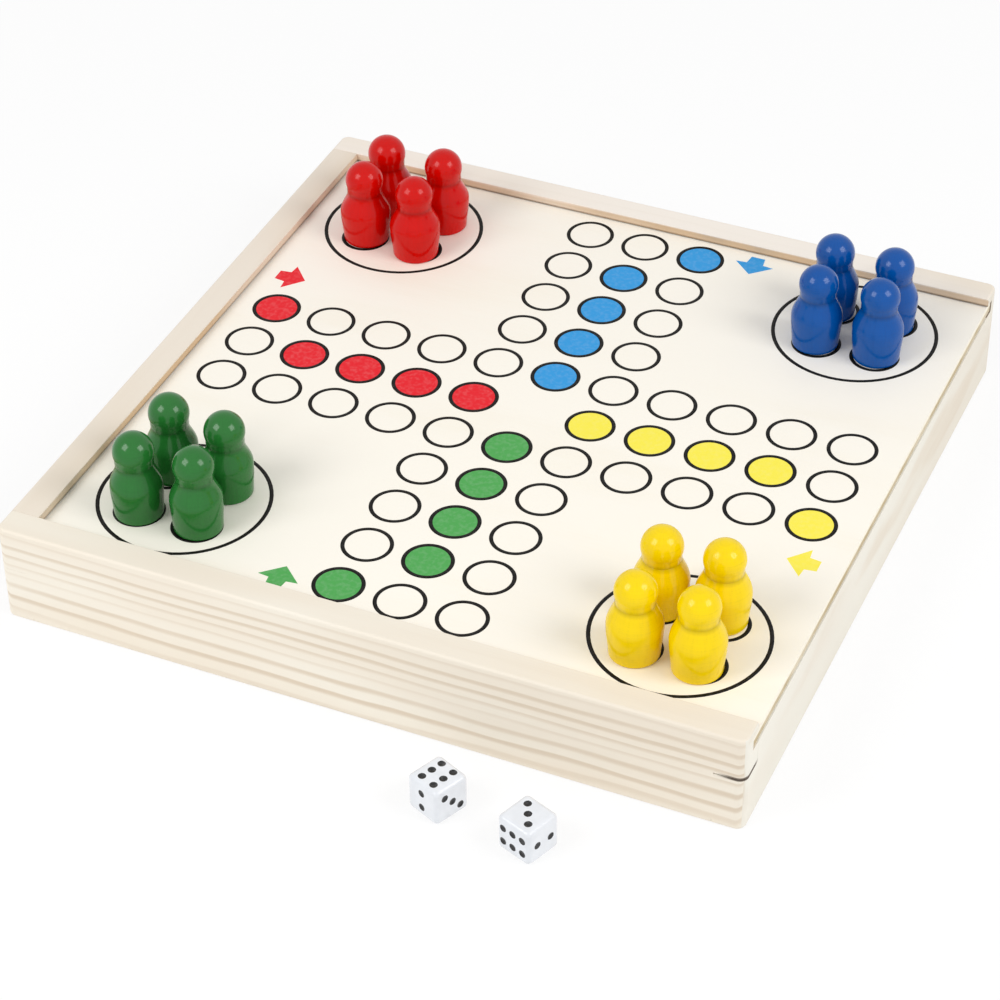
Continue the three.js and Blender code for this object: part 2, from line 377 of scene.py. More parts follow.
def pineFinish(name, lengthwise, pith, start, strength, fade, tones):
    look = Finish(name, Roughness=pine["roughness"], Specular_IOR_Level=0.3)
    place = look.objectPlace(start)
    x, y, z = look.parts(look.objectPlace())
    across, plane = (y, innerY) if lengthwise else (x, innerX)
    top = caseHigh.z

    def streaks(scales, detail=2.0):
        u, v, w = look.parts(place)
        along, side = scales
        first, second = (along, side) if lengthwise else (side, along)
        return look.noise(look.vector(u * first, v * second, w * side), 1.0, detail)

    def within(amount, middle, half, edge):  # 1 where the amount is within half of the middle
        return 1 - (amount - middle).size().rise(half, half * edge)

    reach = ((across - pith[0]) ** 2 + (z - pith[1]) ** 2).root()
    wander = (streaks(pine["wander"]) - 0.5) + (streaks(pine["quickWander"]) - 0.5) * 0.22
    years = look.noise(look.vector(reach * pine["years"], start[0] * 9, 0.0), 1.0, 1.0)  # rings differ
    turn = ((reach + wander * pine["ringWander"]) / pine["ringPitch"] + years * 0.5).fraction()
    late = turn.rise(0.36, 0.76) * (1 - turn.rise(0.82, 1.0)) * (1 - z.rise(top - pine["calmTop"], top) * 0.8)
    patch = streaks(pine["patch"])
    fibre = streaks(pine["fibre"], 3.0)
    ring = late * (0.25 + 0.9 * patch) * (0.6 + 0.8 * years.rise(0.35, 0.65))
    depth = ring * strength + (fibre - 0.5) * 0.2 + x.rise(-0.09, 0.1) * fade
    plain = look.blend(streaks(pine["cloud"]).rise(0.38, 0.66), linear(*tones[0]), linear(*tones[1]))
    ringed = look.blend(depth.rise(0.0, 1.0), plain, linear(*pine["dark"]))

    # The rims' inner faces get the sawn timber's tan together with painted shade
    sawnAndShade = 1 - (across.size() - plane).rise(0.0, pine["sawnDepth"])
    sawnAndShade = sawnAndShade * z.rise(boardLow.z - pine["planedEdge"], boardLow.z)  # the tray's sides are planed
    below = 1 - z.rise(top - pine["calmTop"] / 2, top)
    scorch = streaks(pine["scorch"]).rise(0.38, 0.62)  # the saw has browned the timber more in some places; this also varies the painted shade on the inner faces
    cut = look.blend(sawnAndShade * below * (0.22 + scorch * 0.5), ringed, linear(*pine["sawnAndShade"]))
    # Painted shade along the foot of the rims' inner faces, just above the board
    gapLow = boardHigh.z + case["boardClearance"]
    gap = sawnAndShade * (1 - z.rise(gapLow, gapLow + pine["gapHeight"]))

    grooveHalf = (boardHigh.z - boardLow.z) / 2 + case["boardClearance"]
    groove = within(across.size(), plane + case["grooveDepth"] / 2, case["grooveDepth"] / 2, 1.1)
    groove = groove * within(z, (boardLow.z + boardHigh.z) / 2, grooveHalf, 1.1)
    groove = groove * (y if lengthwise else -1 * x).rise(0, mm)  # painted shade inside the groove, only in the back and left walls
    # The near right corner's open joint, painted dark: the joint itself and the painted shadow under the
    # corner that overhangs it
    seamShadowBand = within(z, case["fingerHeight"] + case["openSeam"], pine["seamHeight"], 1.6)
    nearRight = x.rise(innerX, innerX + pine["seamReach"]) * (-1 * y).rise(innerY - mm, innerY + 2 * mm)
    # Painted shade from the gap and groove masks, laid over the wood
    dark = look.blend((gap * 0.7).maths("MAXIMUM", groove * 0.7), cut, linear(*pine["gap"]))
    colour = look.blend(seamShadowBand * nearRight * 0.85, dark, linear(*pine["seamAndShadow"]))
    height = fibre * 0.6 + late * 0.4
    return look.paint(Base_Color=colour, Normal=look.bump(height, 0.2, pine["fibreDepth"]))


# Case walls

case = {
    "cornerRadius": 2.4 * mm,
    "cornerSegments": 10,
    "edgeRounding": 0.8 * mm,
    "edgeSegments": 4,
    "easedEdge": 0.16 * mm,
    "fingerHeight": 16.0 * mm,
    "openSeam": 0.3 * mm,  # at the near right corner; the others are glued tight
    "tightSeam": 0.04 * mm,
    "seamReach": 0.2 * mm,  # edges this near the seams' level belong to them
    "grooveDepth": 3.5 * mm,
    "boardClearance": 0.3 * mm,
    "baseSeat": 4.0 * mm,
    "overrun": 1.0 * mm,
}

boardLow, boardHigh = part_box("game_board")
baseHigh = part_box("base_panel")[1]
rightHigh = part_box("right_wall")[1]
caseLow = Vector((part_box("left_wall")[0].x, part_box("front_wall")[0].y, 0))
caseHigh = Vector((rightHigh.x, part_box("back_wall")[1].y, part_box("front_wall")[1].z))
innerX = case["boardClearance"] - case["grooveDepth"] - boardLow.x
innerY = case["boardClearance"] - case["grooveDepth"] - boardLow.y


def caseEnvelope(name):
    shape = boxShape(caseLow, caseHigh)
    upright = [e for e in shape.edges if abs(e.verts[0].co.z - e.verts[1].co.z) > mm]
    rounded(shape, upright, case["cornerRadius"], case["cornerSegments"])
    rims = [e for e in shape.edges if abs(e.verts[0].co.z - e.verts[1].co.z) < fine["touching"]
            and sum(abs(f.normal.z) > 0.9 for f in e.link_faces) == 1]
    rounded(shape, rims, case["edgeRounding"], case["edgeSegments"])
    return fromBmesh(name, shape)


def caseRooms():
    over = case["overrun"]
    gap = case["boardClearance"]
    boardRoom = block("boardRoom", (boardLow.x - gap, boardLow.y - gap, boardLow.z - gap),
                      (caseHigh.x + over, boardHigh.y + gap, boardHigh.z + gap))
    seatX, seatY = innerX + case["baseSeat"], innerY + case["baseSeat"]
    return [boardRoom, block("baseRoom", (-seatX, -seatY, -over), (seatX, seatY, baseHigh.z))]


def wall(name, keep):
    shape = combined(caseEnvelope(name), "INTERSECT", [keep])
    shape = combined(shape, "DIFFERENCE", caseRooms())
    shape.name = name
    return tidied(shape)


def lengthwiseWall(name, side, rightSeam):  # its upper half laps over the corners
    over = case["overrun"]
    left = case["fingerHeight"] + case["tightSeam"]
    right = case["fingerHeight"] + rightSeam
    reach = caseHigh.x + over
    top = caseHigh.z + over
    outline = [(-innerX, -over), (innerX, -over), (innerX, right), (reach, right), (reach, top),
               (-reach, top), (-reach, left), (-innerX, left)]
    return wall(name, prism("keep", outline, side * innerY, side * (caseHigh.y + over),
                            lambda along, up, across: (along, across, up)))


def crosswiseWall(name, side, top):  # its lower half laps under the corners
    over = case["overrun"]
    finger = case["fingerHeight"]
    reach = caseHigh.y + over
    outline = [(-reach, -over), (reach, -over), (reach, finger), (innerY, finger), (innerY, top + over),
               (-innerY, top + over), (-innerY, finger), (-reach, finger)]
    return wall(name, prism("keep", outline, side * innerX, side * (caseHigh.x + over),
                            lambda along, up, across: (across, along, up)))


def tightJoint(a, b):  # the corner joints' edges that are glued and sanded flush
    if abs(a.x - b.x) < fine["touching"] and abs(a.y - b.y) < fine["touching"]:
        return abs(abs(a.x) - innerX) < fine["touching"] and abs(a.y) > innerY + mm
    nearRight = a.x > 0 and a.y < 0
    level = case["fingerHeight"] + case["openSeam"] / 2
    return max(abs(a.z - level), abs(b.z - level)) < case["seamReach"] and not nearRight


def makeWalls():
    pieces = {
        "front_wall": lengthwiseWall("frontWallTimber", -1, case["openSeam"]),
        "back_wall": lengthwiseWall("backWallTimber", 1, case["tightSeam"]),
        "left_wall": crosswiseWall("leftWallTimber", -1, caseHigh.z),
        "right_wall": crosswiseWall("rightWallTimber", 1, rightHigh.z),
    }
    finishes = {node: pineFinish(piece.name + "Finish", **timbers[node]) for node, piece in pieces.items()}
    for node, piece in pieces.items():
        lengthwise = timbers[node]["lengthwise"]
        low, high = ("left_wall", "right_wall") if lengthwise else ("front_wall", "back_wall")
        piece = eased(piece, case["easedEdge"], tightJoint)
        dress(piece, "case", "pine", finishes[node], finishes[low], finishes[high])
        for face in piece.data.polygons:  # the corner blocks match the face that they are sanded into
            outward, middle = face.normal, face.center
            corner = abs(middle.x) > innerX and abs(middle.y) > innerY
            turned = abs(outward.x) > abs(outward.y) if lengthwise else abs(outward.y) > abs(outward.x)
            if corner and turned and abs(outward.z) < 0.7:
                side = middle.x if lengthwise else middle.y
                face.material_index = 1 if side < 0 else 2
        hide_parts(node)


makeWalls()
print("case walls made")


# Plywood board and base panel

plywood = {
    "face": (252, 247, 236),
    "faceShade": (247, 239, 222),
    "longPly": (246, 239, 222),
    "crossPlyAndShade": (184, 164, 124),
    "plyHeight": 1.0 * mm,
    "easedEdge": 0.12 * mm,
}


def plyFaceFinish(name, shift):
    look = Finish(name, Roughness=0.5, Specular_IOR_Level=0.25)
    place = look.objectPlace(shift)
    x, y, z = look.parts(place)
    flame = look.noise(look.vector(x * 10, y * 40, z), 1.0, 3.0)
    fleck = look.noise(look.vector(x * 90, y * 1500, z), 1.0, 2.0)
    shade = (flame.rise(0.4, 0.75) * 0.5 + (fleck - 0.5) * 0.3).rise(0.0, 1.0)
    colour = look.blend(shade, linear(*plywood["face"]), linear(*plywood["faceShade"]))
    return look.paint(Base_Color=colour, Normal=look.bump(fleck, 0.1, 0.03 * mm))


def plyEdgeFinish(name, top):  # a pale long-grain ply over the darker cross ply's end grain and, below it, painted shade down to the bottom
    look = Finish(name, Roughness=0.75, Specular_IOR_Level=0.2)
    up = look.parts(look.objectPlace())[2]
    # Darker from about a millimetre under the top down to the bottom: the cross ply's end grain and painted
    # shade of the gap under the board
    coreAndShade = ((top - up) / plywood["plyHeight"]).rise(0.7, 1.5)
    char = look.noise(look.objectPlace((0.2, 0.1, 0.4)), 420, 3.0)
    stain = look.noise(look.objectPlace((0.6, 0.3, 0.2)), 70, 2.0)
    tone = (coreAndShade * (0.2 + stain) + (char - 0.5) * 0.25).rise(0.0, 1.0)
    colour = look.blend(tone, linear(*plywood["longPly"]), linear(*plywood["crossPlyAndShade"]))
    return look.paint(Base_Color=colour, Normal=look.bump(char, 0.3, 0.08 * mm))


def plySheet(name, node, body, shift):
    low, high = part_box(node)
    sheet = eased(block(name, low, high), plywood["easedEdge"])
    dress(sheet, body, "plywood", plyFaceFinish(name + "Face", shift), plyEdgeFinish(name + "Edge", high.z))
    for face in sheet.data.polygons:
        face.material_index = 0 if abs(face.normal.z) > 0.9 else 1
    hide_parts(node)


plySheet("boardSheet", "game_board", "board", (0.1, 0.3, 0.0))
plySheet("basePanelSheet", "base_panel", "case", (0.7, 0.5, 0.2))
print("plywood sheets made")


# Printed layers on the board, as thin inked shapes

inks = {
    "black": (11, 9, 6),
    "red": (231, 38, 48),
    "blue": (56, 156, 222),
    "green": (82, 166, 86),
    "yellow": (250, 236, 84),
}

track = {
    "pitch": 16.6 * mm,
    "centre": (3.16 * mm, 0.0),
    "turn": 0.501,  # degrees; the print sits slightly turned on its board
    "cellsAcross": 11,
    "armHalfCells": 1.5,  # of the cross's arms, from the middle line
    "homeRun": 4,
    "ringRadius": 0.3725,  # shares of the pitch from here on
    "lineWidth": 0.064,
    "homeRing": 1.331,
    "homeSpot": 0.375,
    "homeSpotSpacing": 0.99,
    "arrowLength": 0.51,
    "arrowWidth": 0.66,
    "arrowPlace": (-5.169, 1.895),
}

# Each home's middle and how far its four small circles are shifted from it, in pitches
homes = {
    "red": ((-4.035, 3.964), (0, 0)),
    "blue": ((4.062, 3.981), (0.008, -0.018)),
    "green": ((-4.059, -4.058), (-0.008, -0.03)),
    "yellow": ((4.053, -4.116), (0.01, -0.023)),
}

ink = {
    "thickness": 0.03 * mm,
    "ringSegments": 72,
    "filledLift": 0.012 * mm,
    "bare": 0.05,  # share of the wood that shows through
    "bareBlack": 0.01,
}


def inkFinish(name, colour):
    look = Finish(name + "Ink", Roughness=0.55, Specular_IOR_Level=0.15)
    grain = look.noise(look.objectPlace((0.3, 0.2, 0.1)), 900, 3.0)
    bare = ink["bareBlack"] if name == "black" else ink["bare"]
    pale = tuple(c + (1 - c) * bare for c in linear(*colour))
    return look.paint(Base_Color=look.blend(grain.rise(0.4, 0.72), linear(*colour), pale))


inkFinishes = {name: inkFinish(name, colour) for name, colour in inks.items()}


# Geometry Nodes trees are built by this class, with named inputs

class Recipe:
    def __init__(self, name, **inputs):
        self.tree = bpy.data.node_groups.new(name, "GeometryNodeTree")
        self.tree.interface.new_socket(name="Geometry", in_out="OUTPUT", socket_type="NodeSocketGeometry")
        kinds = {float: "NodeSocketFloat", int: "NodeSocketInt", tuple: "NodeSocketVector"}
        for title, value in inputs.items():
            kind = "NodeSocketMaterial" if value is None else kinds[type(value)]
            self.tree.interface.new_socket(name=title, in_out="INPUT", socket_type=kind)
        self.given = self.tree.nodes.new("NodeGroupInput").outputs

    def node(self, kind, settings=None, inputs=None):
        made = self.tree.nodes.new(kind)
        for setting, value in (settings or {}).items():
            setattr(made, setting, value)
        for socket, value in (inputs or {}).items():
            if isinstance(value, bpy.types.NodeSocket):
                self.tree.links.new(value, made.inputs[socket])
            else:
                made.inputs[socket].default_value = value
        return made.outputs

    def maths(self, operation, *values):
        return self.node("ShaderNodeMath", {"operation": operation}, dict(enumerate(values)))[0]

    def end(self, geometry):
        solid = self.node("GeometryNodeRealizeInstances", None, {"Geometry": geometry})[0]
        inputs = {"Geometry": solid, "Material": self.given["material"]}
        painted = self.node("GeometryNodeSetMaterial", None, inputs)[0]
        self.tree.links.new(painted, self.tree.nodes.new("NodeGroupOutput").inputs[0])
        return self.tree


def cooked(tree, name, vertices=(), **values):
    mesh = bpy.data.meshes.new(name)
    mesh.from_pydata(vertices, [], [])
    holder = meshObject(name, mesh)
    modifier = holder.modifiers.new("recipe", "NODES")
    modifier.node_group = tree
    for item in tree.interface.items_tree:
        if item.in_out == "INPUT" and item.name in values:
            modifier[item.identifier] = values[item.name]
    return tidied(settled(holder, name))


def ringFieldTree():
    names = {"middle": (0.0, 0.0, 0.0), "spacing": 0.0, "cells": 0, "armHalf": 0.0, "radius": 0.0,
             "lineWidth": 0.0, "thickness": 0.0, "segments": 0, "material": None}
    recipe = Recipe("ringField", **names)
    given = recipe.given
    span = recipe.maths("MULTIPLY", recipe.maths("SUBTRACT", given["cells"], 1), given["spacing"])
    grid = recipe.node("GeometryNodeMeshGrid", None, {
        "Size X": span, "Size Y": span, "Vertices X": given["cells"], "Vertices Y": given["cells"]})["Mesh"]
    place = recipe.node("ShaderNodeSeparateXYZ", None, {0: recipe.node("GeometryNodeInputPosition")[0]})
    sizeX = recipe.maths("ABSOLUTE", place["X"])
    sizeY = recipe.maths("ABSOLUTE", place["Y"])
    outsideArms = recipe.maths("GREATER_THAN", recipe.maths("MINIMUM", sizeX, sizeY), given["armHalf"])
    quarter = recipe.maths("MULTIPLY", given["spacing"], 0.25)
    onMiddle = recipe.maths("LESS_THAN", recipe.maths("MAXIMUM", sizeX, sizeY), quarter)
    dropped = recipe.maths("MAXIMUM", outsideArms, onMiddle)
    spots = recipe.node("GeometryNodeDeleteGeometry", {"domain": "POINT"}, {
        "Geometry": grid, "Selection": dropped})[0]
    circle = recipe.node("GeometryNodeCurvePrimitiveCircle", None, {
        "Resolution": given["segments"], "Radius": given["radius"]})[0]
    section = recipe.node("GeometryNodeCurvePrimitiveQuadrilateral", None, {
        "Width": given["lineWidth"], "Height": given["thickness"]})[0]
    ring = recipe.node("GeometryNodeCurveToMesh", None, {"Curve": circle, "Profile Curve": section})[0]
    rings = recipe.node("GeometryNodeInstanceOnPoints", None, {"Points": spots, "Instance": ring})[0]
    return recipe.end(recipe.node("GeometryNodeTransform", None, {
        "Geometry": rings, "Translation": given["middle"]})[0])


def rowTree(name, shapeOf, **inputs):  # equal shapes along a line
    row = {"start": (0.0, 0.0, 0.0), "step": (0.0, 0.0, 0.0), "count": 0, "material": None}
    recipe = Recipe(name, **row, **inputs)
    given = recipe.given
    line = recipe.node("GeometryNodeMeshLine", {"mode": "OFFSET"}, {
        "Count": given["count"], "Start Location": given["start"], "Offset": given["step"]})[0]
    return recipe.end(recipe.node("GeometryNodeInstanceOnPoints", None, {
        "Points": line, "Instance": shapeOf(recipe, given)})[0])


def spotShape(recipe, given):
    return recipe.node("GeometryNodeMeshCylinder", {"fill_type": "NGON"}, {
        "Vertices": given["segments"], "Radius": given["radius"], "Depth": given["thickness"]})["Mesh"]


ringField = ringFieldTree()
spotRow = rowTree("spotRow", spotShape, radius=0.0, thickness=0.0, segments=0)


def onPrint(x, y):  # a place given in pitches from the print's middle
    pitch = track["pitch"]
    return (track["centre"][0] + x * pitch, track["centre"][1] + y * pitch, boardHigh.z)


printMiddle = Matrix.Translation(onPrint(0, 0))
printTurn = printMiddle @ Matrix.Rotation(math.radians(track["turn"]), 4, "Z") @ printMiddle.inverted()


def joined(name, pieces):
    shape = bmesh.new()
    for piece in pieces:
        shape.from_mesh(piece.data)
        bpy.data.objects.remove(piece)
    return fromBmesh(name, shape)


def rings(name, middle, spacing, cells, armHalf, radius):
    pitch = track["pitch"]
    return cooked(ringField, name, middle=onPrint(*middle), spacing=spacing * pitch, cells=cells,
                  armHalf=armHalf * pitch, radius=radius * pitch, lineWidth=track["lineWidth"] * pitch,
                  thickness=ink["thickness"], segments=ink["ringSegments"], material=inkFinishes["black"])


def blackLines():
    cells = track["cellsAcross"]
    pieces = [rings("trackRings", (0, 0), 1.0, cells, track["armHalfCells"], track["ringRadius"])]
    for (x, y), (shiftX, shiftY) in homes.values():
        spots = (x + shiftX, y + shiftY)
        pieces.append(rings("homeSpots", spots, track["homeSpotSpacing"], 2, cells, track["homeSpot"]))
        pieces.append(rings("homeCircle", (x, y), 0.0, 1, cells, track["homeRing"]))
    lines = joined("printedLines", pieces)
    lines.data.transform(printTurn)
    dress(lines, "board", "print_ink", inkFinishes["black"])


blackLines()
print("printed lines made")


def blockArrow(name, turn):
    length = track["arrowLength"] * track["pitch"]
    width = track["arrowWidth"] * track["pitch"]
    outline = [(0.5, 0), (-0.09, 0.5), (-0.13, 0.22), (-0.5, 0.18), (-0.5, -0.18), (-0.13, -0.22),
               (-0.09, -0.5)]
    half = ink["thickness"] / 2
    arrow = prism(name, outline, -half, half, lambda x, y, z: (x * length, y * width, z))
    place = Vector(onPrint(*track["arrowPlace"])) - Vector(onPrint(0, 0))
    spin = Matrix.Rotation(turn, 4, "Z")
    arrow.data.transform(Matrix.Translation(onPrint(0, 0)) @ spin @ Matrix.Translation(place))
    return arrow


# Each colour's start circle, its home run's first circle and the step along the run, in cells,
# and its arrow's quarter turns from the red one
runs = {
    "red": {"start": (-5, 1), "run": (-4, 0), "step": (1, 0), "turns": 0},
    "blue": {"start": (1, 5), "run": (0, 4), "step": (0, -1), "turns": -1},
    "yellow": {"start": (5, -1), "run": (4, 0), "step": (-1, 0), "turns": -2},
    "green": {"start": (-1, -5), "run": (0, -4), "step": (0, 1), "turns": -3},
}


def colouredSpots(colour, start, run, step, turns):
    pitch = track["pitch"]
    common = {"radius": track["ringRadius"] * pitch, "thickness": ink["thickness"] - ink["filledLift"],
              "segments": ink["ringSegments"], "material": inkFinishes[colour]}
    homeRun = cooked(spotRow, "homeRun", start=onPrint(*run), step=(step[0] * pitch, step[1] * pitch, 0.0),
                     count=track["homeRun"], **common)
    startSpot = cooked(spotRow, "startSpot", start=onPrint(*start), step=(0.0, 0.0, 0.0), count=1, **common)
    arrow = blockArrow("arrow", turns * math.pi / 2)
    patch = joined(colour + "Print", [homeRun, startSpot, arrow])
    patch.data.transform(printTurn)
    dress(patch, "board", "print_ink", inkFinishes[colour])


for colour, places in runs.items():
    colouredSpots(colour, **places)
print("coloured print made")


# Underside print: a plain numbered grid with ladders to climb and snakes to slide down

climb = {
    "cells": 10,
    "barWidth": 0.6 * mm,
    "digitHeight": 4.6 * mm,
    "digitInset": 4.4 * mm,
    "digitSteps": 3,
    "ladders": ((4, 25), (13, 46), (33, 49), (42, 63), (50, 69), (62, 81), (74, 92)),
    "snakes": {"green": ((27, 5), (54, 31), (89, 53)), "red": ((40, 3), (76, 58)),
               "blue": ((66, 45), (99, 41))},
    "railGap": 4.4 * mm,
    "railWidth": 1.0 * mm,
    "rungStep": 5.0 * mm,
    "snakeWidth": 3.4 * mm,
    "snakeTail": 0.25,  # share of the width left at the tail's end
    "snakeHead": 0.6,  # share that the head adds
    "snakeBend": 4.2 * mm,
    "snakeWave": 1.6,  # cells in a wave
    "snakeSteps": 44,
    "outline": 0.6 * mm,
    "layer": 0.02 * mm,
}


def barShape(recipe, given):
    return recipe.node("GeometryNodeMeshCube", None, {"Size": given["size"]})["Mesh"]


barRow = rowTree("barRow", barShape, size=(0.0, 0.0, 0.0))


def cellMiddle(number):  # row by row from the bottom, turning back at each end
    cells = climb["cells"]
    row, along = divmod(number - 1, cells)
    column = cells - 1 - along if row % 2 else along
    pitch = track["pitch"]
    return Vector(((column - (cells - 1) / 2) * pitch, (row - (cells - 1) / 2) * pitch, 0))


def ribbon(name, spots, widths, thickness):  # a flat strip through the spots
    shape = bmesh.new()
    rows = []
    for i, spot in enumerate(spots):
        before, after = spots[max(i - 1, 0)], spots[min(i + 1, len(spots) - 1)]
        across = (after - before).normalized().cross(Vector((0, 0, 1))) * widths[i] / 2
        rise = Vector((0, 0, thickness / 2))
        corners = (spot + across + rise, spot - across + rise, spot - across - rise, spot + across - rise)
        rows.append([shape.verts.new(corner) for corner in corners])
    for near, far in zip(rows, rows[1:]):
        for j in range(4):
            k = (j + 1) % 4
            shape.faces.new((near[j], near[k], far[k], far[j]))
    shape.faces.new(rows[0])
    shape.faces.new(rows[-1])
    return fromBmesh(name, shape)


def gridBars():
    cells, pitch, width = climb["cells"], track["pitch"], climb["barWidth"]
    half = cells * pitch / 2
    span = cells * pitch + width
    common = {"count": cells + 1, "material": inkFinishes["black"]}
    upright = cooked(barRow, "uprightBars", start=(-half, 0.0, 0.0), step=(pitch, 0.0, 0.0),
                     size=(width, span, ink["thickness"]), **common)
    level = cooked(barRow, "levelBars", start=(0.0, -half, 0.0), step=(0.0, pitch, 0.0),
                   size=(span, width, ink["thickness"]), **common)
    return [upright, level]


def digits(number):
    letters = bpy.data.curves.new("digits", "FONT")
    letters.body = str(number)
    letters.size = climb["digitHeight"]
    letters.extrude = ink["thickness"] / 2
    letters.align_x = "CENTER"
    letters.align_y = "CENTER"
    letters.resolution_u = climb["digitSteps"]
    holder = bpy.data.objects.new("digits", letters)
    bpy.context.scene.collection.objects.link(holder)
    made = settled(holder, "digits")
    bpy.data.curves.remove(letters)
    inset = track["pitch"] / 2 - climb["digitInset"]
    made.data.transform(Matrix.Translation(cellMiddle(number) + Vector((-inset, inset, 0))))
    return made


# In a ladder or snake, extra widens the strips for an outline and layers lifts them over what lies under them
def ladder(first, last, extra, layers):
    low, high = cellMiddle(first), cellMiddle(last)
    along = (high - low).normalized()
    across = along.cross(Vector((0, 0, 1))) * climb["railGap"] / 2
    thickness = ink["thickness"] + climb["layer"] * layers
    widths = [climb["railWidth"] + extra] * 2
    pieces = []
    for side in (-1, 1):
        rail = [low + across * side - along * extra / 2, high + across * side + along * extra / 2]
        pieces.append(ribbon("rail", rail, widths, thickness))
    count = int((high - low).length / climb["rungStep"])
    for i in range(count):
        middle = low + along * (i + 0.5) * (high - low).length / count
        pieces.append(ribbon("rung", [middle - across, middle + across], widths, thickness))
    return pieces


def snake(first, last, extra, layers):
    head = cellMiddle(first)
    along = cellMiddle(last) - head
    across = along.normalized().cross(Vector((0, 0, 1)))
    waves = max(1, round(along.length / (track["pitch"] * climb["snakeWave"])))
    tail = climb["snakeTail"]
    spots, widths = [], []
    for i in range(climb["snakeSteps"] + 1):
        share = i / climb["snakeSteps"]
        bend = climb["snakeBend"] * math.sin(share * math.tau * waves) * min(1, share * 5)
        spots.append(head + along * share + across * bend)
        swell = climb["snakeHead"] * math.exp(-((share - 0.035) / 0.03) ** 2)
        width = (tail + (1 - tail) * (1 - share) ** 0.6 + swell) * min(1, 0.3 + share * 30)
        widths.append(climb["snakeWidth"] * width + extra)
    return ribbon("snake", spots, widths, ink["thickness"] + climb["layer"] * layers)


def undersidePrint():
    place = Matrix.Translation((*track["centre"], boardLow.z))
    place = place @ Matrix.Rotation(math.pi, 4, "Y")
    outline = climb["outline"]
    numbers = [digits(number) for number in range(1, climb["cells"] ** 2 + 1)]
    layers = {"black": gridBars() + numbers, "yellow": []}
    for ends in climb["ladders"]:
        layers["black"] += ladder(*ends, outline, 1)
        layers["yellow"] += ladder(*ends, 0.0, 2)
    for colour, snakes in climb["snakes"].items():
        layers["black"] += [snake(*ends, outline, 3) for ends in snakes]
        layers[colour] = [snake(*ends, 0.0, 4) for ends in snakes]
    for colour, pieces in layers.items():
        layer = joined(colour + "Underside", pieces)
        layer.data.transform(place)
        dress(layer, "board", "print_ink", inkFinishes[colour])


undersidePrint()
print("underside print made")


# Turned pawns

pawn = {
    "segments": 56,
    "footSteps": 4,
    "bodySteps": 7,
    "shoulderSteps": 16,
    "headSteps": 20,
    "shoulderWave": 0.93,  # share of the half wave that the shoulder's outline takes
    "smoothAngle": 50,
    "neckShadeReach": 0.055,  # share of the height over which shade is painted at the neck's groove
    "neckShadeStrength": 0.45,
    "footRounding": 0.7,  # millimetres from here on
    "neckGroove": 0.2,
    "neckHeight": 15.5,
    "neckRadius": 4.95,
    "shoulderTopRadius": 4.85,
    "bodyHeight": 9.1,
    "footRadius": 6.38,
    "headRadius": 5.3,
    "height": 24.5,
}

# Each colour is a batch from the lathe: how wide its bodies are, and the power that slopes their shoulders
batches = {
    "red": {"bodyRadius": 7.1, "slope": 1.1},
    "blue": {"bodyRadius": 6.95, "slope": 0.9},
    "green": {"bodyRadius": 6.8, "slope": 1.15},
    "yellow": {"bodyRadius": 7.05, "slope": 0.75},
}

lacquers = {
    "red": {"colour": (208, 6, 0), "gloss": 0.24},
    "blue": {"colour": (0, 80, 160), "gloss": 0.3},
    "green": {"colour": (36, 112, 44), "gloss": 0.36},
    "yellow": {"colour": (248, 214, 0), "gloss": 0.26},
}


def lacquerFinish(name, colour, gloss):
    look = Finish(name, Roughness=0.18, Specular_IOR_Level=gloss)
    around, up, _ = look.parts(look.node("ShaderNodeUVMap").outputs[0])
    turning = look.noise(look.vector(around * 1.5, up * 90, 0.0), 1.0, 3.0)
    wood = look.noise(look.vector(around * 46, up * 5, 0.0), 1.0, 2.0)
    neck = (pawn["neckHeight"] + pawn["neckGroove"]) / pawn["height"]
    # Painted shade in the crease at the neck, darkest at the groove
    neckShadeMask = 1 - (up - neck).size().rise(0.0, pawn["neckShadeReach"])
    deep = tuple(c * 0.9 for c in linear(*colour))
    dark = tuple(c * pawn["neckShadeStrength"] for c in linear(*colour))
    tone = look.blend((turning * 0.55 + wood * 0.45).rise(0.42, 0.72), linear(*colour), deep)
    tone = look.blend(neckShadeMask * pawn["neckShadeStrength"], tone, dark)
    return look.paint(Base_Color=tone, Normal=look.bump(turning * 0.6 + wood * 0.4, 0.08, 0.06 * mm),
                      Roughness=0.11 + turning * 0.08)


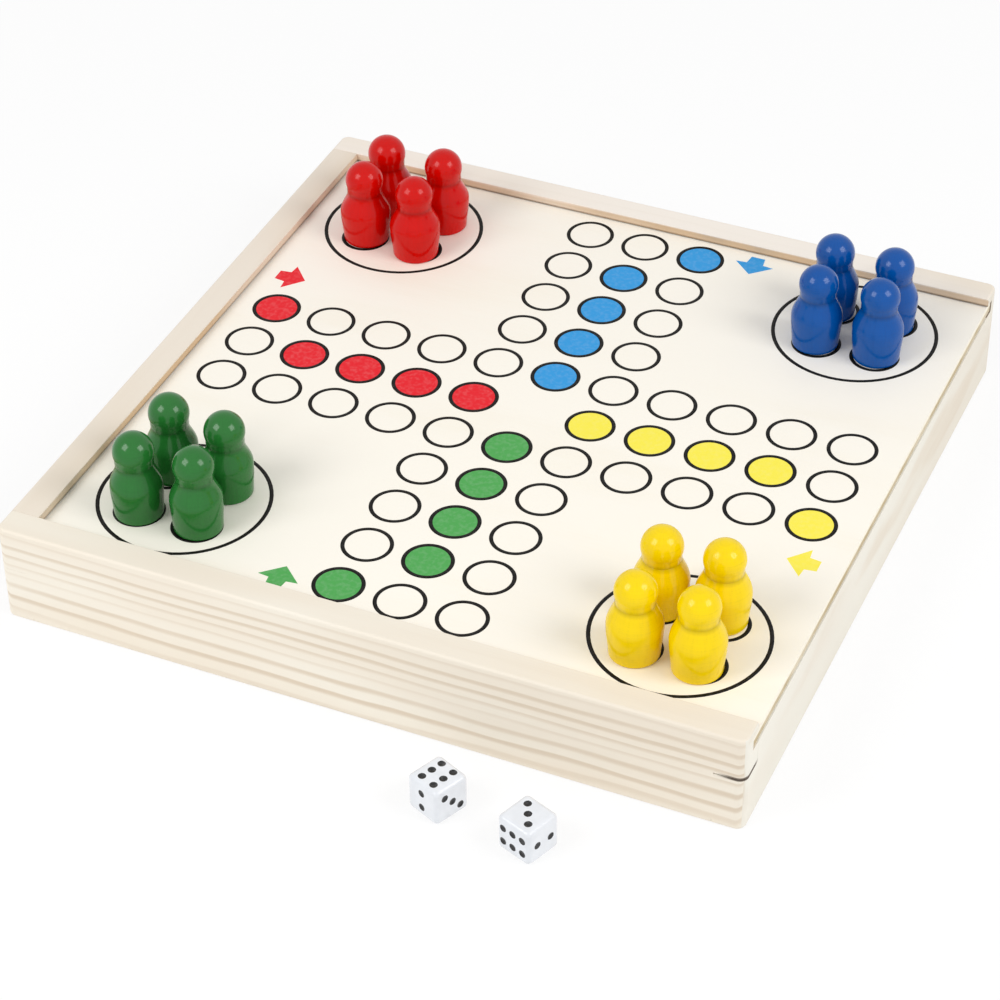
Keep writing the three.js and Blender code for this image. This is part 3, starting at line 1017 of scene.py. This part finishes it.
def pawnOutline(bodyRadius, slope):
    points = [(0.0, 0.0)]
    foot = pawn["footRounding"]
    for i in range(pawn["footSteps"] + 1):
        turn = i / pawn["footSteps"] * math.pi / 2
        points.append((pawn["footRadius"] - foot + foot * math.sin(turn), foot - foot * math.cos(turn)))
    for i in range(1, pawn["bodySteps"]):
        share = i / pawn["bodySteps"]
        swell = (bodyRadius - pawn["footRadius"]) * math.sin(share * math.pi / 2) ** 1.5
        points.append((pawn["footRadius"] + swell, foot + (pawn["bodyHeight"] - foot) * share))
    spread = bodyRadius - pawn["shoulderTopRadius"]
    rise = pawn["neckHeight"] - pawn["bodyHeight"]
    for i in range(pawn["shoulderSteps"] + 1):
        share = i / pawn["shoulderSteps"]
        bulge = (0.5 + 0.5 * math.cos(share * pawn["shoulderWave"] * math.pi)) ** slope
        points.append((pawn["shoulderTopRadius"] + spread * bulge, pawn["bodyHeight"] + rise * share))
    groove = pawn["neckGroove"]
    points.append((pawn["neckRadius"] - groove / 2, pawn["neckHeight"] + groove / 2))
    points.append((pawn["neckRadius"], pawn["neckHeight"] + groove * 2))
    headMiddle = pawn["height"] - pawn["headRadius"]
    low = math.asin(pawn["neckRadius"] / pawn["headRadius"])
    for i in range(pawn["headSteps"]):
        turn = low + (math.pi - low) * i / pawn["headSteps"]
        points.append((pawn["headRadius"] * math.sin(turn), headMiddle - pawn["headRadius"] * math.cos(turn)))
    points.append((0.0, pawn["height"]))
    return points


def turned(name, outline, foot):
    shape = bmesh.new()
    uv = shape.loops.layers.uv.new("turning")
    count = pawn["segments"]
    tall = outline[-1][1]
    rows = []
    for radius, height in outline[1:-1]:
        row = []
        for k in range(count):
            turn = 2 * math.pi * k / count
            spot = Vector((radius * math.cos(turn), radius * math.sin(turn), height)) * mm
            row.append(shape.verts.new(foot + spot))
        rows.append(row)
    ends = [shape.verts.new(foot + Vector((0, 0, outline[i][1] * mm))) for i in (0, -1)]

    def facet(corners, marks):
        face = shape.faces.new(corners)
        for loop, mark in zip(face.loops, marks):
            loop[uv].uv = mark

    heights = [height / tall for _, height in outline[1:-1]]
    for k in range(count):
        n = (k + 1) % count
        u, v = k / count, (k + 1) / count
        facet((ends[0], rows[0][n], rows[0][k]), ((u, 0), (v, heights[0]), (u, heights[0])))
        facet((ends[1], rows[-1][k], rows[-1][n]), ((u, 1), (u, heights[-1]), (v, heights[-1])))
        for r in range(len(rows) - 1):
            marks = ((u, heights[r]), (v, heights[r]), (v, heights[r + 1]), (u, heights[r + 1]))
            facet((rows[r][k], rows[r][n], rows[r + 1][n], rows[r + 1][k]), marks)
    return fromBmesh(name, shape)


def makePawns():
    for colour, batch in batches.items():
        outline = pawnOutline(**batch)
        finish = lacquerFinish(colour + "Lacquer", **lacquers[colour])
        for number in range(1, 5):
            node = f"pawn_{colour}_{number}"
            low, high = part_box(node)
            foot = Vector(((low.x + high.x) / 2, (low.y + high.y) / 2, low.z))
            piece = turned(f"turnedPawn_{colour}_{number}", outline, foot)
            softShaded(piece, pawn["smoothAngle"])
            dress(piece, node, "lacquer_" + colour, finish)
            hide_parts(node)


makePawns()
print("pawns turned")


# Dice

die = {
    "edge": 10.4 * mm,
    "rounding": 1.4 * mm,
    "roundSegments": 6,
    "pipRadius": 1.05 * mm,
    "pipDepth": 0.3 * mm,
    "pipSegments": 20,
    "pipRings": 14,
    "smoothAngle": 30,
    "white": (230, 233, 238),
    "pip": (16, 16, 18),
    "turns": {"die_1": -0.42, "die_2": -0.364},
    "rowPitch": 3.1,  # millimetres from here on
    "rowOffset": 2.05,
    "diagonal": 2.4,
    "pair": 2.2,
    "square": 2.1,
}

pipPlaces = {
    1: [(0, 0)],
    2: [(0, -die["pair"]), (0, die["pair"])],
    3: [(-die["diagonal"], -die["diagonal"]), (0, 0), (die["diagonal"], die["diagonal"])],
    4: [(a * die["square"], b * die["square"]) for a in (-1, 1) for b in (-1, 1)],
    5: [(a * die["diagonal"], b * die["diagonal"]) for a in (-1, 1) for b in (-1, 1)] + [(0, 0)],
    6: [(a * die["rowOffset"], b * die["rowPitch"]) for a in (-1, 1) for b in (-1, 0, 1)],
}

# Each face's pips, its outward direction and the direction of its rows
dieFaces = (
    (6, (0, 0, 1), (0, 1, 0)),
    (1, (0, 0, -1), (0, 1, 0)),
    (2, (0, -1, 0), (0, 0, 1)),
    (5, (0, 1, 0), (0, 0, 1)),
    (3, (1, 0, 0), (0, 0, 1)),
    (4, (-1, 0, 0), (0, 0, 1)),
)


def dieFinish():
    look = Finish("dieResin", Roughness=0.16, Specular_IOR_Level=0.45)
    cloud = look.noise(look.objectPlace((0.4, 0.1, 0.9)), 320, 2.0)
    pale = linear(*die["white"])
    cool = tuple(c * 0.96 for c in pale)
    return look.paint(Base_Color=look.blend(cloud.rise(0.4, 0.7), pale, cool),
                      Normal=look.bump(cloud, 0.04, 0.04 * mm))


def pipFinish():
    look = Finish("pipPaint", Roughness=0.35, Specular_IOR_Level=0.45)
    cloud = look.noise(look.objectPlace((0.2, 0.3, 0.5)), 900, 2.0)
    pale = tuple(c + 0.05 for c in linear(*die["pip"]))
    return look.paint(Base_Color=look.blend(cloud.rise(0.4, 0.8), linear(*die["pip"]), pale))


def pipTree():
    recipe = Recipe("pipCutters", radius=0.0, material=None)
    spots = recipe.tree.interface.new_socket(name="spots", in_out="INPUT", socket_type="NodeSocketGeometry")
    recipe.tree.interface.move(spots, 0)
    ball = recipe.node("GeometryNodeMeshUVSphere", None, {
        "Segments": die["pipSegments"], "Rings": die["pipRings"], "Radius": recipe.given["radius"]})["Mesh"]
    balls = recipe.node("GeometryNodeInstanceOnPoints", None, {
        "Points": recipe.given["spots"], "Instance": ball})[0]
    return recipe.end(balls)


def pipCutters(material):
    radius = (die["pipRadius"] ** 2 + die["pipDepth"] ** 2) / (2 * die["pipDepth"])
    spots = []
    for pips, outward, rows in dieFaces:
        up = Vector(outward)
        along = Vector(rows)
        across = up.cross(along)
        reach = die["edge"] / 2 + radius - die["pipDepth"]
        spots += [up * reach + (across * a + along * b) * mm for a, b in pipPlaces[pips]]
    return cooked(pipTree(), "pipCutters", spots, radius=radius, material=material)


def roundedCube(name):
    shape = bmesh.new()
    bmesh.ops.create_cube(shape, size=die["edge"])
    rounded(shape, list(shape.edges), die["rounding"], die["roundSegments"])
    return fromBmesh(name, shape)


def makeDice():
    white, black = dieFinish(), pipFinish()
    third = Matrix(((0, -1, 0), (0, 0, -1), (1, 0, 0))).to_4x4()
    for node, turn in die["turns"].items():
        cube = roundedCube(node + "Resin")
        cube.data.materials.append(white)
        cube.data.materials.append(black)
        cube = combined(cube, "DIFFERENCE", [pipCutters(black)], "TRANSFER")
        cube = flatFaced(cube, die["smoothAngle"])
        low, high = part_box(node)
        roll = third if node == "die_2" else Matrix.Identity(4)
        cube.data.transform(Matrix.Translation((low + high) / 2) @ Matrix.Rotation(turn, 4, "Z") @ roll)
        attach(cube, node)
        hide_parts(node)


makeDice()
print("dice made")


# Floor, backdrop and lamps

def floorMaterial():
    look = Finish("paleFloor")
    look.nodes.remove(look.surface)
    plain = look.node("ShaderNodeBsdfDiffuse", None, {"Color": studio["floorColour"]})
    white = look.node("ShaderNodeEmission", None, {"Color": (1, 1, 1), "Strength": 1.0})
    rays = look.node("ShaderNodeLightPath").outputs
    seen = look.amount("ShaderNodeMath", {"operation": "MAXIMUM"}, {
        0: rays["Is Camera Ray"], 1: rays["Is Glossy Ray"]})
    share = seen.maths("MAXIMUM", rays["Is Transmission Ray"]) * studio["floorGlow"]
    mix = look.node("ShaderNodeMixShader", None, {0: share, 1: plain.outputs[0], 2: white.outputs[0]})
    look.links.new(mix.outputs[0], look.nodes["Material Output"].inputs[0])
    return look.material


def makeFloor():
    shape = bmesh.new()
    bmesh.ops.create_grid(shape, x_segments=1, y_segments=1, size=studio["floorRadius"])
    floor = fromBmesh("floor", shape)
    floor.data.transform(Matrix.Translation((0, 0, -studio["floorDrop"])))
    if floor.data.polygons[0].normal.z < 0:
        floor.data.flip_normals()
    floor.data.materials.append(floorMaterial())


def makeWorld():
    world = bpy.data.worlds.new("studioWorld")
    world.use_nodes = True
    nodes, links = world.node_tree.nodes, world.node_tree.links
    rays = nodes.new("ShaderNodeLightPath").outputs
    seen = rays["Is Camera Ray"]
    for kind in ("Is Glossy Ray", "Is Transmission Ray"):
        either = nodes.new("ShaderNodeMath")
        either.operation = "MAXIMUM"
        links.new(seen, either.inputs[0])
        links.new(rays[kind], either.inputs[1])
        seen = either.outputs[0]
    strength = nodes.new("ShaderNodeMapRange")
    links.new(seen, strength.inputs["Value"])
    strength.inputs["To Min"].default_value = studio["skyStrength"]
    strength.inputs["To Max"].default_value = 1.0
    links.new(strength.outputs[0], nodes["Background"].inputs["Strength"])
    nodes["Background"].inputs["Color"].default_value = (1, 1, 1, 1)
    bpy.context.scene.world = world


def makeLamps():
    for number, direction in enumerate(studio["lampDirections"], 1):
        lamp = bpy.data.lights.new(f"softBox{number}", "AREA")
        lamp.shape = "SQUARE"
        lamp.size = studio["lampSize"]
        lamp.energy = studio["lampWatts"]
        holder = bpy.data.objects.new(lamp.name, lamp)
        toLamp = Vector(direction).normalized()
        holder.location = toLamp * studio["lampDistance"]
        holder.rotation_euler = toLamp.to_track_quat("Z", "Y").to_euler()
        bpy.context.scene.collection.objects.link(holder)


makeFloor()
makeWorld()
makeLamps()
bpy.context.scene.view_settings.view_transform = "Standard"
print("studio lit")
